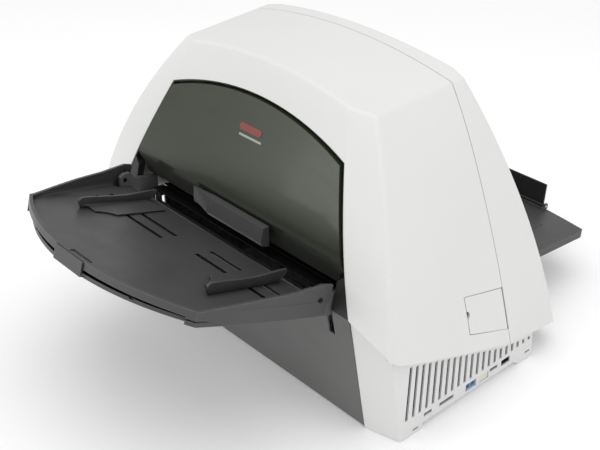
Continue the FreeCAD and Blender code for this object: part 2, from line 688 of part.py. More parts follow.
keep("data_connector", port_insert("data_connector", 13.2, [(-5, 0, 8, 7), (5, 0, 8, 7)]))
keep("port_cover", port_insert("port_cover", 13.4, []))
keep("power_inlet", port_insert("power_inlet", 13.0, [(0, 0, 15, 6)]))
rocker_pin = ("-150", "Size.base_rear - 3", "34")
rocker = [("Size.base_rear - 8", "27"), ("Size.base_rear + 0.5", "27"), ("Size.base_rear - 0.8", "34")]
rocker += [("Size.base_rear + 1.8", "41"), ("Size.base_rear - 8", "41")]
rocker_body = prism(rocker, "YZ", "23", at="-149.5")
keep("power_switch", cut(rocker_body, [rod("X", "1.55", rocker_pin, "24")]))
keep("switch_pin", rod("X", "1.5", rocker_pin, "24"))

# ---------------------------------------------------------------- frames and lift
PAIRS = ("feed", "infeed", "outfeed", "exit")
PAPER_GAP = 0.2
path_turn = -dim("path_slope")


def path_point(along, above):
    """Machine Y and Z of a point given along and above the paper path."""
    turn = math.radians(path_turn)
    y = dim("path_y") + along * math.cos(turn) - above * math.sin(turn)
    z = dim("path_z") + along * math.sin(turn) + above * math.cos(turn)
    return y, z


FRAME = [(-148, "Size.floor_gap + Size.base_wall"), (104, "Size.floor_gap + Size.base_wall"), (104, 46)]
FRAME += [(137, 75), (137, 108), (62, 285), (-82, 285), (-126, 205), (-148, 168)]
WINDOW = [(-70, 205), (40, 205), (40, 250), (-55, 250)]


def side_frame(label, side):
    """A folded sheet side frame with a bearing hole for every roller shaft."""
    frame = body(label)
    middle = f"{side} * (Size.frame_half + Size.frame_plate / 2)"
    pad(frame, sketch_in(frame, "YZ_Plane", FRAME, middle), "Size.frame_plate", both=True)
    pocket(frame, sketch_in(frame, "YZ_Plane", WINDOW, middle), "Size.frame_plate * 3")
    bores = frame.newObject("Sketcher::SketchObject", "bores")
    plane = next(f for f in frame.Origin.OriginFeatures if f.Role == "YZ_Plane")
    bores.AttachmentSupport = [(plane, "")]
    bores.MapMode = "FlatFace"
    bores.setExpression(".AttachmentOffset.Base.z", middle)
    for index in range(len(PAIRS)):
        along = dim("roller_pitch") * index
        for above in (-dim("drive_roller") - PAPER_GAP, dim("idler_roller") + PAPER_GAP):
            y, z = path_point(along, above)
            circle = bores.addGeometry(Part.Circle(Vector(y, z, 0), Vector(0, 0, 1), dim("bearing")), False)
            bores.addConstraint(Sketcher.Constraint("DistanceX", -1, 1, circle, 3, y))
            bores.addConstraint(Sketcher.Constraint("DistanceY", -1, 1, circle, 3, z))
            radius = bores.addConstraint(Sketcher.Constraint("Radius", circle, dim("bearing")))
            bores.setExpression(f"Constraints[{radius}]", "Size.bearing")
    pocket(frame, bores, "Size.frame_plate * 3")
    return frame


LIFT_LUG_Z = (103, 168)
ROD_Y = "-158"
ROD_X = 182.0
for label, side in (("side_frame_left", -1), ("side_frame_right", 1)):
    plate = side_frame(label, side)
    lug_x = "176" if side > 0 else "-187"
    lift_lugs = [box((lug_x, "-164", str(z)), ("11", "20", "4")) for z in LIFT_LUG_Z]
    rod_bores = [rod("Z", "3", (str(side * ROD_X), ROD_Y, "100"), "80")]
    keep(label, cut(join([plate] + lift_lugs), rod_bores))
rods = [rod("Z", "3", (str(side * ROD_X), ROD_Y, str(LIFT_LUG_Z[0])), "69") for side in (1, -1)]
keep("lift_rods", group(rods))
TIES = [(-95, 40), (95, 40), (45, 272), (-65, 272)]
tie_length = "2 * Size.frame_half"
tie_bars = [rod("X", "6", ("-Size.frame_half", str(y), str(z)), tie_length) for y, z in TIES]
keep("cross_tie_bars", group(tie_bars))

ARM = [(-211, 191), (-211, 205), (-204, 208), (-195, 207), (-186, 196), (-150, 188), (-150, 140), (-166, 140)]
ARM += [(-166, 164), (-190, 167), (-204, 186)]
arms = [prism(ARM, "YZ", "6.2", at=x) for x in ("189", "-195.2")]
bar = box(("-195.2", "-166", "140"), ("390.4", "16", "10"))
lift_bores = [rod("Z", "3.05", (str(side * ROD_X), ROD_Y, "130"), "30") for side in (1, -1)]
tray_axis = ("Size.tray_pin_y", "Size.tray_pin_z")
lift_bores += [rod("X", "Size.tray_pin", (x, *tray_axis), "8") for x in ("188.5", "-196.5")]
keep("lift_carriage", cut(join(arms + [bar]), lift_bores))
hinge_pins = [rod("X", "Size.tray_pin", (x, *tray_axis), "12.2") for x in ("189", "-201.2")]
keep("tray_hinge_pins", group(hinge_pins))

# ---------------------------------------------------------------- paper path
TYRES = (-125, -45, 45, 125)
TYRE_WIDE = 26
BELT_X = -190.0
path_pin = ("Size.path_y", "Size.path_z")


def on_path(label, obj):
    """Turn a piece designed along the paper path into its place."""
    return tilted(label, obj, *path_pin, "Size.path_slope")


def roller_windows(low, tall):
    """Windows in a guide plate for the rollers' tyres."""
    return [box((f"{x} - 16", f"Size.roller_pitch * {index} - 13", low), ("32", "26", tall), LOCAL)
            for index in range(len(PAIRS)) for x in TYRES]


GLASS_AT = "Size.roller_pitch * 1.5"
PLATE_END = 268
for label, low, start in (("lower_guide_plate", "-3", -52), ("upper_guide_plate", "1.5", -34)):
    plate = box(("-170", str(start), low), ("340", str(PLATE_END - start), "1.5"), LOCAL)
    glass_window = box(("-158", f"{GLASS_AT} - 16", low), ("316", "32", "1.5"), LOCAL)
    on_path(label, cut(plate, roller_windows(low, "1.5") + [glass_window]))
for label, low in (("lower_scan_glass", "-4.2"), ("upper_scan_glass", "1.4")):
    pane = box(("-157.6", f"{GLASS_AT} - 15.6", low), ("315.2", "31.2", "2.8"), LOCAL)
    on_path(label, group([pane]))
for label, low, lens in (("lower_camera", "-58", "-9"), ("upper_camera", "5", "4")):
    case = box(("-163", f"{GLASS_AT} - 27", low), ("326", "54", "53"), LOCAL)
    slit = box(("-150", f"{GLASS_AT} - 4", lens), ("300", "8", "6"), LOCAL)
    on_path(label, cut(case, [slit]))

for index, name in enumerate(PAIRS):
    at = f"Size.roller_pitch * {index}"
    below = f"-Size.drive_roller - {PAPER_GAP}"
    above = f"Size.idler_roller + {PAPER_GAP}"
    spindle = rod("X", "Size.shaft", ("-191", at, below), "371", LOCAL)
    wheel = rod("X", "Size.pulley", (f"{BELT_X} - 0.5", at, below), "7", LOCAL)
    on_path(f"{name}_roller_shaft", join([spindle, wheel]))
    tyres = [cut(rod("X", "Size.drive_roller", (f"{x} - {TYRE_WIDE} / 2", at, below), str(TYRE_WIDE), LOCAL),
                 [rod("X", "Size.shaft", ("-170", at, below), "340", LOCAL)]) for x in TYRES]
    on_path(f"{name}_roller_tyres", group(tyres))
    partner = "separation_roller" if index == 0 else f"{name}_idler"
    spindle = rod("X", "Size.shaft", ("-180", at, above), "360", LOCAL)
    wheels = [rod("X", "Size.idler_roller", (f"{x} - {TYRE_WIDE} / 2", at, above), str(TYRE_WIDE), LOCAL)
              for x in TYRES]
    on_path(partner, join([spindle] + wheels))

MOTOR_AT = "Size.roller_pitch * 2.5"
below = f"-Size.drive_roller - {PAPER_GAP}"
motor_shaft = rod("X", "2.5", ("-206", MOTOR_AT, below), "24", LOCAL)
motor_wheel = rod("X", "Size.pulley", (f"{BELT_X} - 0.5", MOTOR_AT, below), "7", LOCAL)
on_path("motor_pulley", join([motor_shaft, motor_wheel]))
can = rod("X", "18", ("-242", MOTOR_AT, below), "46", LOCAL)
flange = box(("-196", f"{MOTOR_AT} - 23", f"{below} - 23"), ("2", "46", "46"), LOCAL)
standoffs = [rod("X", "3", ("-194", f"{MOTOR_AT} + {y}", f"{below} + {z}"), "18", LOCAL)
             for y in (-18, 18) for z in (-18, 18)]
motor_bore = rod("X", "2.55", ("-210", MOTOR_AT, below), "20", LOCAL)
on_path("drive_motor", cut(join([can, flange] + standoffs), [motor_bore]))
BELT_GAP, BELT_SHEET = 0.3, 1.4
belt_span = f"Size.roller_pitch * {len(PAIRS) - 1}"


def stadium(radius):
    """The belt's run round its end pulleys."""
    ends = [rod("X", radius, (str(BELT_X), y, below), "6", LOCAL) for y in ("0", belt_span)]
    middle = box((str(BELT_X), "0", f"{below} - ({radius})"), ("6", belt_span, f"2 * ({radius})"), LOCAL)
    return join(ends + [middle])


belt_inner = f"Size.pulley + {BELT_GAP}"
on_path("drive_belt", cut(stadium(f"{belt_inner} + {BELT_SHEET}"), [stadium(belt_inner)]))

# ---------------------------------------------------------------- electronics and cooling
board = box(("192", "-95", "22"), ("1.6", "170", "105"))
CHIPS = ((-70, 70, 4, 32, 32), (-15, 60, 9, 40, 24), (40, 30, 12, 20, 50), (-80, 30, 8, 50, 12))
chips = [box(("193.6", str(y), str(z)), (str(thick), str(wide), str(tall)))
         for y, z, thick, wide, tall in CHIPS]
board_legs = [rod("X", "3", ("176", str(y), str(z)), "16") for y in (-88, 68) for z in (28, 121)]
keep("main_board", join([board] + chips + board_legs))
supply_floor = "Size.floor_gap + Size.base_wall"
supply = box(("-262", "-120", supply_floor), ("66", "110", "52"))
supply_vents = [box(("-263", f"-112 + 12 * {index}", "30"), ("3", "6", "24")) for index in range(8)]
keep("power_supply", cut(supply, supply_vents))
FAN_AT = ("-62", "64")
fan_case = box(("240", "-92", "34"), ("18", "60", "60"))
fan_legs = [box(("240", y, supply_floor), ("18", "8", f"34 - ({supply_floor})")) for y in ("-90", "-42")]
fan_spokes = [box(("241", "-95", "62"), ("1.5", "70", "4")), box(("241", "-64", "30"), ("1.5", "4", "70"))]
fan_hole = cut(rod("X", "27.5", ("241", *FAN_AT), "20"), fan_spokes)
keep("fan_housing", cut(join([fan_case] + fan_legs), [fan_hole, rod("X", "2.05", ("238", *FAN_AT), "6")]))
FAN_BLADES = 7


def fan_blade(index):
    """One blade, leaning across the fan's depth."""
    blade = Part.makeBox(1.6, 16.0, 11.0, Vector(-0.8, 9.0, -5.5))
    blade.rotate(Vector(), Vector(0, 1, 0), 40)
    blade.rotate(Vector(), Vector(0, 0, 1), 360 * index / FAN_BLADES)
    return blade


hub = Part.makeCylinder(10, 12, Vector(0, 0, -6)).fuse([Part.makeCylinder(2, 17, Vector(0, 0, -11))])
rotor_shape = hub.fuse([fan_blade(index) for index in range(FAN_BLADES)])
rotor_shape.rotate(Vector(), Vector(0, 1, 0), 90)
rotor_shape.translate(Vector(250.5, float(FAN_AT[0]), float(FAN_AT[1])))
keep("fan_rotor", free_shape(rotor_shape, "fan_rotor"))

# ---------------------------------------------------------------- input tray
TAB_HALF = 28.0
RIM_WIDE = 4.0


def tray_wire(inset, heel, z, reach=0.0, half_limit=None):
    """The tray's outline, designed flat about its hinge, with -Y pointing out of the machine."""
    half, front_half = dim("tray_half") - inset, dim("tray_front_half") - inset
    side = dim("tray_side") - inset * 0.6
    tip = dim("tray_reach") - inset + reach
    if half_limit is not None:
        half = front_half = half_limit
    bow = 3.0
    corner = Vector(front_half, -side, z)
    rear = Vector(half, heel, z)
    left_corner, left_rear = Vector(-corner.x, corner.y, z), Vector(-rear.x, rear.y, z)
    front = Part.Arc(left_corner, Vector(0, -tip, z), corner).toShape()
    if half_limit is None:
        middle = Vector((half + front_half) / 2 + bow, (heel - side) / 2, z)
        right = Part.Arc(corner, middle, rear).toShape()
        left = Part.Arc(left_rear, Vector(-middle.x, middle.y, z), left_corner).toShape()
    else:
        right, left = Part.makeLine(corner, rear), Part.makeLine(left_rear, left_corner)
    return Part.Wire([front, right, Part.makeLine(rear, left_rear), left])


def tray_slab(inset, heel, low, high, reach=0.0, half_limit=None):
    """The tray's outline pushed from one height to another."""
    face = Part.Face(tray_wire(inset, heel, low, reach, half_limit))
    return free_shape(face.extrude(Vector(0, 0, high - low)), "tray_slab", home=False)


floor, deck, rim = -dim("tray_floor"), -dim("tray_deck"), -dim("tray_rim")
heel = dim("tray_heel")
DECK_SHEET = 2.6
RACK_HIGH = deck - DECK_SHEET - 0.3
RACK_LOW = RACK_HIGH - 3.4
EXTENSION_TOP = RACK_LOW - 0.4
tray_block = tray_slab(0, heel, floor, rim)
WALL_TOP = [(14, 0), (14, 18.6), (1, 20), (-38, 12.6), (-80, 8), (-150, -1.9), (-150, -6), (14, -12)]
side_walls = []
wall_band = cut(tray_slab(0, 14, rim - 4, 22), [tray_slab(3.2, 20, rim - 5, 23)])
wall_profile = prism(WALL_TOP, "YZ", "420", LOCAL, at="-210")
side_walls.append(overlap(wall_band, wall_profile))
upper_well = tray_slab(RIM_WIDE, heel + 5, deck, rim + 30)
rear_open = box(("-198", "0", str(deck)), ("396", "20", "40"), LOCAL)
well_foot = ("-162", "-Size.tray_reach - 20", str(floor - 1))
lower_well = box(well_foot, ("324", "Size.tray_reach + 6", str(deck - DECK_SHEET - floor + 1)), LOCAL)
groove_z = (floor + 1.2, EXTENSION_TOP - 1.2)
groove_tall = groove_z[1] - groove_z[0]
grooves = [box((x, "-150", str(groove_z[0] - 0.3)), ("4.4", "134", f"{groove_tall + 0.6}"), LOCAL)
           for x in ("161.8", "-166.2")]
ROW_SHIFT = 6.5         # the left guide's slots are further out than the right one's
SLOT_ENDS = {1: (33, 167), -1: (-166, -20)}
SLOT_WIDE = 6.4


def slot_rows(side):
    """The middles of one guide's two slots, along the tray."""
    middle = f"-Size.guide_rows + {side * ROW_SHIFT}"
    return [f"{middle} + Size.slot_row", f"{middle} - Size.slot_row"]


slot_tools = []
for side, (low_x, high_x) in SLOT_ENDS.items():
    slot_size = (str(high_x - low_x), str(SLOT_WIDE), "20")
    slot_tools += [box((str(low_x), f"{row} - {SLOT_WIDE / 2}", str(deck - 10)), slot_size, LOCAL)
                   for row in slot_rows(side)]
arm_notches = [box((x, "-14", "-30"), ("8.2", "40", "60"), LOCAL) for x in ("187.6", "-195.8")]
finger_dish = box(("-20", "-Size.tray_reach + 9", str(deck - 1.6)), ("40", "11", "12"), LOCAL)
tray_pin_bores = [rod("X", "Size.tray_pin + 0.05", (x, "0", "0"), "14", LOCAL) for x in ("190", "-204")]
pinion_axis = ("0", "-Size.guide_rows")
post_foot = EXTENSION_TOP + 0.2
pinion_post = rod("Z", "2.5", (*pinion_axis, str(post_foot)), str(deck - 0.5 - post_foot), LOCAL)
groove_tools = [box((x, "-400", str(EXTENSION_TOP - 0.2)), ("120", "500", "2.4"), LOCAL) for x in ("158", "-278")]
front_groove = cut(tray_slab(-2, -60, EXTENSION_TOP - 0.2, EXTENSION_TOP + 2.2),
                   [tray_slab(2.0, -50, EXTENSION_TOP - 1, EXTENSION_TOP + 3)])
corner_grooves = [overlap(front_groove, tool) for tool in groove_tools]
tab_notch = box((str(-TAB_HALF - 0.4), "-Size.tray_reach - 3", str(floor - 1)),
                (str(2 * TAB_HALF + 0.8), "5.2", str(rim - floor + 3)), LOCAL)
tray_tools = [upper_well, rear_open, lower_well, finger_dish, tab_notch]
tray_tools += grooves + slot_tools + arm_notches + tray_pin_bores + corner_grooves
tray_shape = cut(join([tray_block] + side_walls), tray_tools)


def in_tray(label, obj):
    """Turn a piece designed about the tray's hinge into its place."""
    return tilted(label, obj, *tray_axis, "Size.tray_tilt")


in_tray("input_tray", join([tray_shape, pinion_post]))
extension_slab = tray_slab(2.0, -20, floor + 0.2, EXTENSION_TOP, 2.0, half_limit=161.4)
tongues = [box((x, "-29", str(groove_z[0])), ("4.4", "12", str(groove_tall)), LOCAL)
           for x in ("161", "-165.4")]
tab_foot = (str(-TAB_HALF), "-Size.tray_reach - 1.4", str(floor + 0.2))
tab_wide = str(2 * TAB_HALF)
tab = box(tab_foot, (tab_wide, "3.2", str(rim - 0.6 - floor)), LOCAL)
tab_root = box(tab_foot, (tab_wide, "12", str(EXTENSION_TOP - floor - 0.2)), LOCAL)
extension_cuts = [box(("-120", "-190", str(EXTENSION_TOP - 1.5)), ("240", "3", "3"), LOCAL)]
in_tray("tray_extension", cut(join([extension_slab] + tongues + [tab, tab_root]), extension_cuts))

# ---------------------------------------------------------------- side guides and their racks
GUIDE_WALL = 3.2
GUIDE_FOOT = 38.0
GUIDE_TAIL = (8, 16.5)
GUIDE_WAIST = (-46, 12.6)
GUIDE_NOSE = (-106, 14.6)


def eased(first, last, steps):
    """Points from one height to another along a smooth S-curve."""
    points = []
    for index in range(steps + 1):
        part = index / steps
        ease = part * part * (3 - 2 * part)
        points.append((first[0] + (last[0] - first[0]) * part, first[1] + (last[1] - first[1]) * ease))
    return points


def guide_side():
    """The outline of a guide's wall, seen from the side, its heights above the deck."""
    outline = [(-14, 0.3), (0, 3.2), (7.5, 8.8), (10, 13.2)]
    outline += eased(GUIDE_TAIL, GUIDE_WAIST, 9)
    outline += eased(GUIDE_WAIST, GUIDE_NOSE, 6)[1:]
    return outline + [(-110, 13.4), (-112.5, 10.6), (-112, 6), (-108, 0.3)]


TOOTH = 2 * math.pi * dim("pinion_pitch") / 16
PEG = 2.1
PEG_AT = 121
RACK_WIDE = 7.0
RACK_REACH = 32.0
RACK_END = 128.0


def trapezoid_tooth(centre_x, pitch_y, towards):
    """One rack tooth, reaching towards the pinion from its pitch line."""
    tip, root, half_tip, half_root = 0.8, 1.6, 0.35, 0.95
    points = [(-half_root, -root), (half_root, -root), (half_tip, tip), (-half_tip, tip)]
    corners = [Vector(centre_x + x, pitch_y + towards * y, RACK_LOW) for x, y in points]
    return Part.Face(Part.makePolygon(corners + [corners[0]])).extrude(Vector(0, 0, RACK_HIGH - RACK_LOW))


for label, side in (("left", -1), ("right", 1)):
    wall_x = f"Size.guide_x - {GUIDE_WALL}" if side > 0 else "-Size.guide_x"
    profile = [(round(y, 3), f"-Size.tray_deck + {round(z, 3)}") for y, z in guide_side()]
    fin = prism(profile, "YZ", str(GUIDE_WALL), LOCAL, at=wall_x)
    foot_x = f"Size.guide_x - {GUIDE_FOOT}" if side > 0 else "-Size.guide_x"
    foot = box((foot_x, "-98", "-Size.tray_deck + 0.3"), (str(GUIDE_FOOT), "98", "2.2"), LOCAL)
    nose_x = f"{side} * (Size.guide_x - {GUIDE_FOOT} - 12)"
    nose = cut(foot, [rod("Z", "30", (nose_x, "-104", "-20"), "30", LOCAL)])
    peg_x = f"{side} * {PEG_AT} - 9"
    peg_size = ("18", str(2 * PEG), str(deck + 1 - RACK_HIGH))
    pegs = [box((peg_x, f"{row} - {PEG}", str(RACK_HIGH)), peg_size, LOCAL) for row in slot_rows(side)]
    in_tray(f"side_guide_{label}", join([fin, nose] + pegs))
    pitch_y = -dim("guide_rows") + side * dim("pinion_pitch")
    low_x = -RACK_REACH if side > 0 else -RACK_END
    bar_y = pitch_y + 1.4 if side > 0 else pitch_y - 1.4 - RACK_WIDE
    bar_foot = Vector(low_x, bar_y, RACK_LOW)
    rack_bar = Part.makeBox(RACK_REACH + RACK_END, RACK_WIDE, RACK_HIGH - RACK_LOW, bar_foot)
    low_tooth, high_tooth = (-10, 26) if side > 0 else (-26, 10)
    teeth = [trapezoid_tooth(TOOTH * index, pitch_y, -side) for index in range(low_tooth, high_tooth + 1)]
    in_tray(f"guide_rack_{label}", free_shape(rack_bar.fuse(teeth).removeSplitter(), "rack", home=False))

PINION_TEETH = 16


def pinion_tooth(index):
    """One pinion tooth, standing in a gap of the racks."""
    root, tip, half_root, half_tip = 6.2, 8.8, 1.0, 0.4
    points = [(-half_root, root), (half_root, root), (half_tip, tip), (-half_tip, tip)]
    corners = [Vector(x, y, 0) for x, y in points]
    flank = Part.Face(Part.makePolygon(corners + [corners[0]]))
    tooth = flank.extrude(Vector(0, 0, RACK_HIGH - RACK_LOW - 0.2))
    tooth.rotate(Vector(), Vector(0, 0, 1), 360 * (index + 0.5) / PINION_TEETH)
    return tooth


wheel = Part.makeCylinder(6.6, RACK_HIGH - RACK_LOW - 0.2)
pinion = wheel.fuse([pinion_tooth(index) for index in range(PINION_TEETH)])
pinion = pinion.cut(Part.makeCylinder(2.55, 10, Vector(0, 0, -1)))
pinion.translate(Vector(0, -dim("guide_rows"), RACK_LOW + 0.1))
in_tray("guide_pinion", free_shape(pinion, "pinion", home=False))

# ---------------------------------------------------------------- output tray and its end stop
OUT_FLOOR, OUT_DECK, OUT_RIM = -6.0, 3.0, 5.0
OUT_HEEL = -13.0


def out_wire(half, side, tip, z):
    """The output tray's outline, designed flat about its hinge, with +Y pointing out."""
    corner, left = Vector(half, side, z), Vector(-half, side, z)
    rear, left_rear = Vector(half, OUT_HEEL, z), Vector(-half, OUT_HEEL, z)
    knee, left_knee = Vector(half - 14, side + 12.5, z), Vector(14 - half, side + 12.5, z)
    round_right = Part.Arc(corner, Vector(half - 4, side + 8.5, z), knee).toShape()
    round_left = Part.Arc(left_knee, Vector(4 - half, side + 8.5, z), left).toShape()
    edge = Part.Arc(knee, Vector(0, tip, z), left_knee).toShape()
    lines = [Part.makeLine(left, left_rear), Part.makeLine(left_rear, rear), Part.makeLine(rear, corner)]
    return Part.Wire([round_right, edge, round_left] + lines)


def out_slab(inset, low, high):
    """That outline pushed from one height to another."""
    wire = out_wire(dim("out_half") - inset, dim("out_side") - inset, dim("out_reach") - inset, low)
    return free_shape(Part.Face(wire).extrude(Vector(0, 0, high - low)), "out_slab", home=False)


stop_axis = ("Size.stop_at + 2", "7.5")
out_rims = cut(out_slab(0, OUT_DECK - 1, OUT_RIM), [box(("-195", "-20", "0"), ("390", "260", "10"), LOCAL)])
out_well = [box(("-192", "-20", str(OUT_FLOOR - 1)), ("384", "190", "6"), LOCAL)]
out_ribs = [box((f"{x} - 1.2", "-13", str(OUT_FLOOR)), ("2.4", "184", "6"), LOCAL)
            for x in (-120, -60, 0, 60, 120)]
stop_lugs = [box((x, "Size.stop_at - 2", str(OUT_DECK)), ("4", "8", "8"), LOCAL) for x in ("118", "-122")]
deck_grooves = [box((f"{x} - 1", "0", str(OUT_DECK - 0.8)), ("2", "150", "2"), LOCAL)
                for x in (-150, -90, -30, 30, 90, 150)]
SCREW_AT = [(str(x), "Size.stop_at - 20", str(OUT_DECK - 1)) for x in (-108, 108)]
screw_seats = [rod("Z", "2.6", at, "1.6", LOCAL) for at in SCREW_AT]
out_block = cut(out_slab(0, OUT_FLOOR, OUT_DECK), out_well + deck_grooves + screw_seats)
out_bores = [rod("X", "3.05", (x, "0", "0"), "14", LOCAL) for x in ("190", "-204")]
out_bosses = [rod("X", "6", (x, "0", "0"), "8.4", LOCAL) for x in ("191.4", "-199.8")]
stop_pin_bore = rod("X", "1.5", ("-122", *stop_axis), "244", LOCAL)
out_solids = [out_block, out_rims] + out_ribs + stop_lugs + out_bosses


def on_output(label, obj):
    """Turn a piece designed about the output tray's hinge into its place."""
    return tilted(label, obj, *out_pin, "Size.out_tilt")


on_output("output_tray", cut(join(out_solids), out_bores + [stop_pin_bore]))
on_output("stop_screws", group([rod("Z", "2.6", at, "1.6", LOCAL) for at in SCREW_AT]))
keep("output_hinge_pins", group([rod("X", "3", (x, *out_pin), "14.5") for x in ("192", "-206.5")]))
on_output("end_stop_pin", group([rod("X", "1.5", ("-122", *stop_axis), "244", LOCAL)]))
stop_wide = "2 * Size.stop_half"
stop_size = (stop_wide, "3", "Size.stop_height - 4.5")
stop_plate = box(("-Size.stop_half", "Size.stop_at", "7.5"), stop_size, LOCAL)
stop_knuckle = rod("X", "3.4", ("-Size.stop_half", *stop_axis), stop_wide, LOCAL)
stop_ribs = [box((f"{x} - 1.5", "Size.stop_at - 1.5", "14"), ("3", "1.5", "26"), LOCAL) for x in (-70, 0, 70)]
stop_bore = rod("X", "1.55", ("-Size.stop_half - 1", *stop_axis), "2 * Size.stop_half + 2", LOCAL)
on_output("end_stop", cut(join([stop_plate, stop_knuckle] + stop_ribs), [stop_bore]))

# ---------------------------------------------------------------- checks and files
doc.recompute()
for obj in doc.Objects:
    if any(state in ("Invalid", "Error") for state in obj.State):
        raise RuntimeError(f"{obj.Name} ({obj.Label}) failed: {obj.State}")
for label, obj in parts.items():
    if obj.Shape.isNull() or not obj.Shape.isValid() or not obj.Shape.Solids:
        raise RuntimeError(f"{label} has no valid solid")
os.makedirs("parts", exist_ok=True)
for label, obj in parts.items():
    obj.Shape.exportStep(f"parts/{label}.step")
whole = Part.makeCompound([obj.Shape for obj in parts.values()]).optimalBoundingBox(True, False)
print(f"{len(parts)} sub-parts, X {whole.XMin:.1f} {whole.XMax:.1f}, Y {whole.YMin:.1f} {whole.YMax:.1f},"
      f" Z {whole.ZMin:.1f} {whole.ZMax:.1f}")
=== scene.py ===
"""Looks of a desktop document scanner: white flared housing, dark glossy fascia, dark trays.

Metres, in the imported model's own frame: +X right, -Y front, +Z up, the floor at zero.
"""
import json
import math

import bmesh
import bpy
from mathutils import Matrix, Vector


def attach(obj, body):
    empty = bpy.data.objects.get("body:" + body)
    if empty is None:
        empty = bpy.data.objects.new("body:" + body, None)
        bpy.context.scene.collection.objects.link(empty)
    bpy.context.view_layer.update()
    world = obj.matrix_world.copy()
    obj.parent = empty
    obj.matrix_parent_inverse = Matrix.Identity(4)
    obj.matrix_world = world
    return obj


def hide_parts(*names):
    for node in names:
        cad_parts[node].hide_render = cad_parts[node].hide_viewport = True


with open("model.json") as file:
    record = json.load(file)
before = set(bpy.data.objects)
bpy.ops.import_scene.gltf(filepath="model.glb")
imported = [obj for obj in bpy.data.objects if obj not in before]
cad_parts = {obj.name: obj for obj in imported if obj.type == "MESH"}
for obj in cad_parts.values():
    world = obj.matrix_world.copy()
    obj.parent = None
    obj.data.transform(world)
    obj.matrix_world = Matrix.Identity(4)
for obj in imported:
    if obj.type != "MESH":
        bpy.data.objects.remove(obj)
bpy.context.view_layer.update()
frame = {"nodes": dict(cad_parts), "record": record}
NODES = frame["nodes"]
BODY_OF = {node: body for body, nodes in frame["record"]["behaviour"]["bodies"].items() for node in nodes}
SLOT_OF = {entry["node"]: entry["material_slot"] for entry in frame["record"]["subparts"]}
MM = 0.001
CREASE_LOW, CREASE_HIGH = 0.226, 0.250      # where the fascia turns matt and is painted darker as shade, below its crease
EDGE_ANGLE = math.radians(32.0)             # edges sharper than this are rounded over
EDGE_SEGMENTS = 2
WELD = 0.02 * MM
FLAT_ENOUGH = math.radians(0.8)             # faces this close to one plane are joined


# ---------------------------------------------------------------- material building
class Graph:
    """A material's node tree, with short calls to add and join nodes."""

    def __init__(self, name):
        self.material = bpy.data.materials.new(name)
        self.material.use_nodes = True
        self.tree = self.material.node_tree
        self.shader = self.tree.nodes["Principled BSDF"]
        self.place = self.add("ShaderNodeTexCoord").outputs["Object"]

    @classmethod
    def of(cls, material):
        """The graph of a material that is already made."""
        graph = cls.__new__(cls)
        graph.material = material
        graph.tree = material.node_tree
        graph.shader = graph.tree.nodes["Principled BSDF"]
        graph.place = graph.add("ShaderNodeTexCoord").outputs["Object"]
        return graph

    def add(self, kind, settings=None, **inputs):
        """A node with its settings, and its inputs given as values or as other nodes' outputs."""
        node = self.tree.nodes.new(kind)
        for key, value in (settings or {}).items():
            setattr(node, key, value)
        for key, value in inputs.items():
            self.put(node.inputs[key.replace("_", " ")], value)
        return node

    def put(self, socket, value):
        """Link an output to a socket, or set the socket."""
        if isinstance(value, bpy.types.NodeSocket):
            self.tree.links.new(value, socket)
        else:
            socket.default_value = value

    def noise(self, scale, detail=2.0, roughness=0.5, stretch=None):
        """Noise in the row frame, its scale in features per metre."""
        where = self.place
        if stretch:
            where = self.add("ShaderNodeMapping", None, Vector=where, Scale=stretch).outputs["Vector"]
        node = self.add("ShaderNodeTexNoise", None, Vector=where, Scale=scale, Detail=detail, Roughness=roughness)
        return node.outputs["Fac"]

    def spread(self, source, low, high, start=0.3, end=0.7):
        """A value moved from one range to another."""
        node = self.add("ShaderNodeMapRange", None, Value=source)
        for key, value in zip(("From Min", "From Max", "To Min", "To Max"), (start, end, low, high)):
            node.inputs[key].default_value = value
        return node.outputs["Result"]

    def mix(self, factor, first, second, blend="MIX"):
        """Two colours mixed."""
        node = self.add("ShaderNodeMix", {"data_type": "RGBA", "blend_type": blend})
        self.put(node.inputs["Factor"], factor)
        self.put(node.inputs[6], first)
        self.put(node.inputs[7], second)
        return node.outputs[2]

    def math(self, operation, first, second=0.0):
        """One arithmetic step."""
        node = self.add("ShaderNodeMath", {"operation": operation})
        self.put(node.inputs[0], first)
        self.put(node.inputs[1], second)
        return node.outputs[0]

    def bump(self, height, depth, base=None):
        """A relief of the given depth in metres."""
        node = self.add("ShaderNodeBump", None, Strength=1.0, Distance=depth, Height=height)
        if base is not None:
            self.put(node.inputs["Normal"], base)
        return node.outputs["Normal"]

    def set(self, **values):
        """Values of the surface shader's own sockets."""
        for key, value in values.items():
            self.put(self.shader.inputs[key.replace("_", " ")], value)
        return self.material


def rgba(colour):
    """A colour with full alpha."""
    return (*colour[:3], 1.0)


def shade(colour, factor):
    """A colour made darker or lighter."""
    return tuple(min(1.0, channel * factor) for channel in colour[:3])


def edge_wear_and_highlight(graph, radius, strength):
    """How much a spot lies on a rounded outer edge, from the rounded edge's normal; that edge is lightened partly
    as rubbing, partly as a painted highlight.
    """
    rounded = graph.add("ShaderNodeBevel", {"samples": 4}, Radius=radius).outputs["Normal"]
    true = graph.add("ShaderNodeNewGeometry").outputs["Normal"]
    dot = graph.add("ShaderNodeVectorMath", {"operation": "DOT_PRODUCT"})
    graph.put(dot.inputs[0], rounded)
    graph.put(dot.inputs[1], true)
    worn_and_lit_edge = graph.math("SUBTRACT", 1.0, dot.outputs["Value"])
    patchy = graph.spread(graph.noise(90.0, 4.0), 0.3, 1.0)
    return graph.math("MULTIPLY", graph.spread(worn_and_lit_edge, 0.0, strength, 0.01, 0.12), patchy)


def painted_crevice_shade(graph, distance, strength, alone):
    """How much painted shade a spot gets from lying in a hollow or crease, of its own piece or of any."""
    node = graph.add("ShaderNodeAmbientOcclusion", {"samples": 6, "only_local": alone}, Distance=distance)
    return graph.spread(node.outputs["AO"], strength, 0.0, 0.35, 0.95)


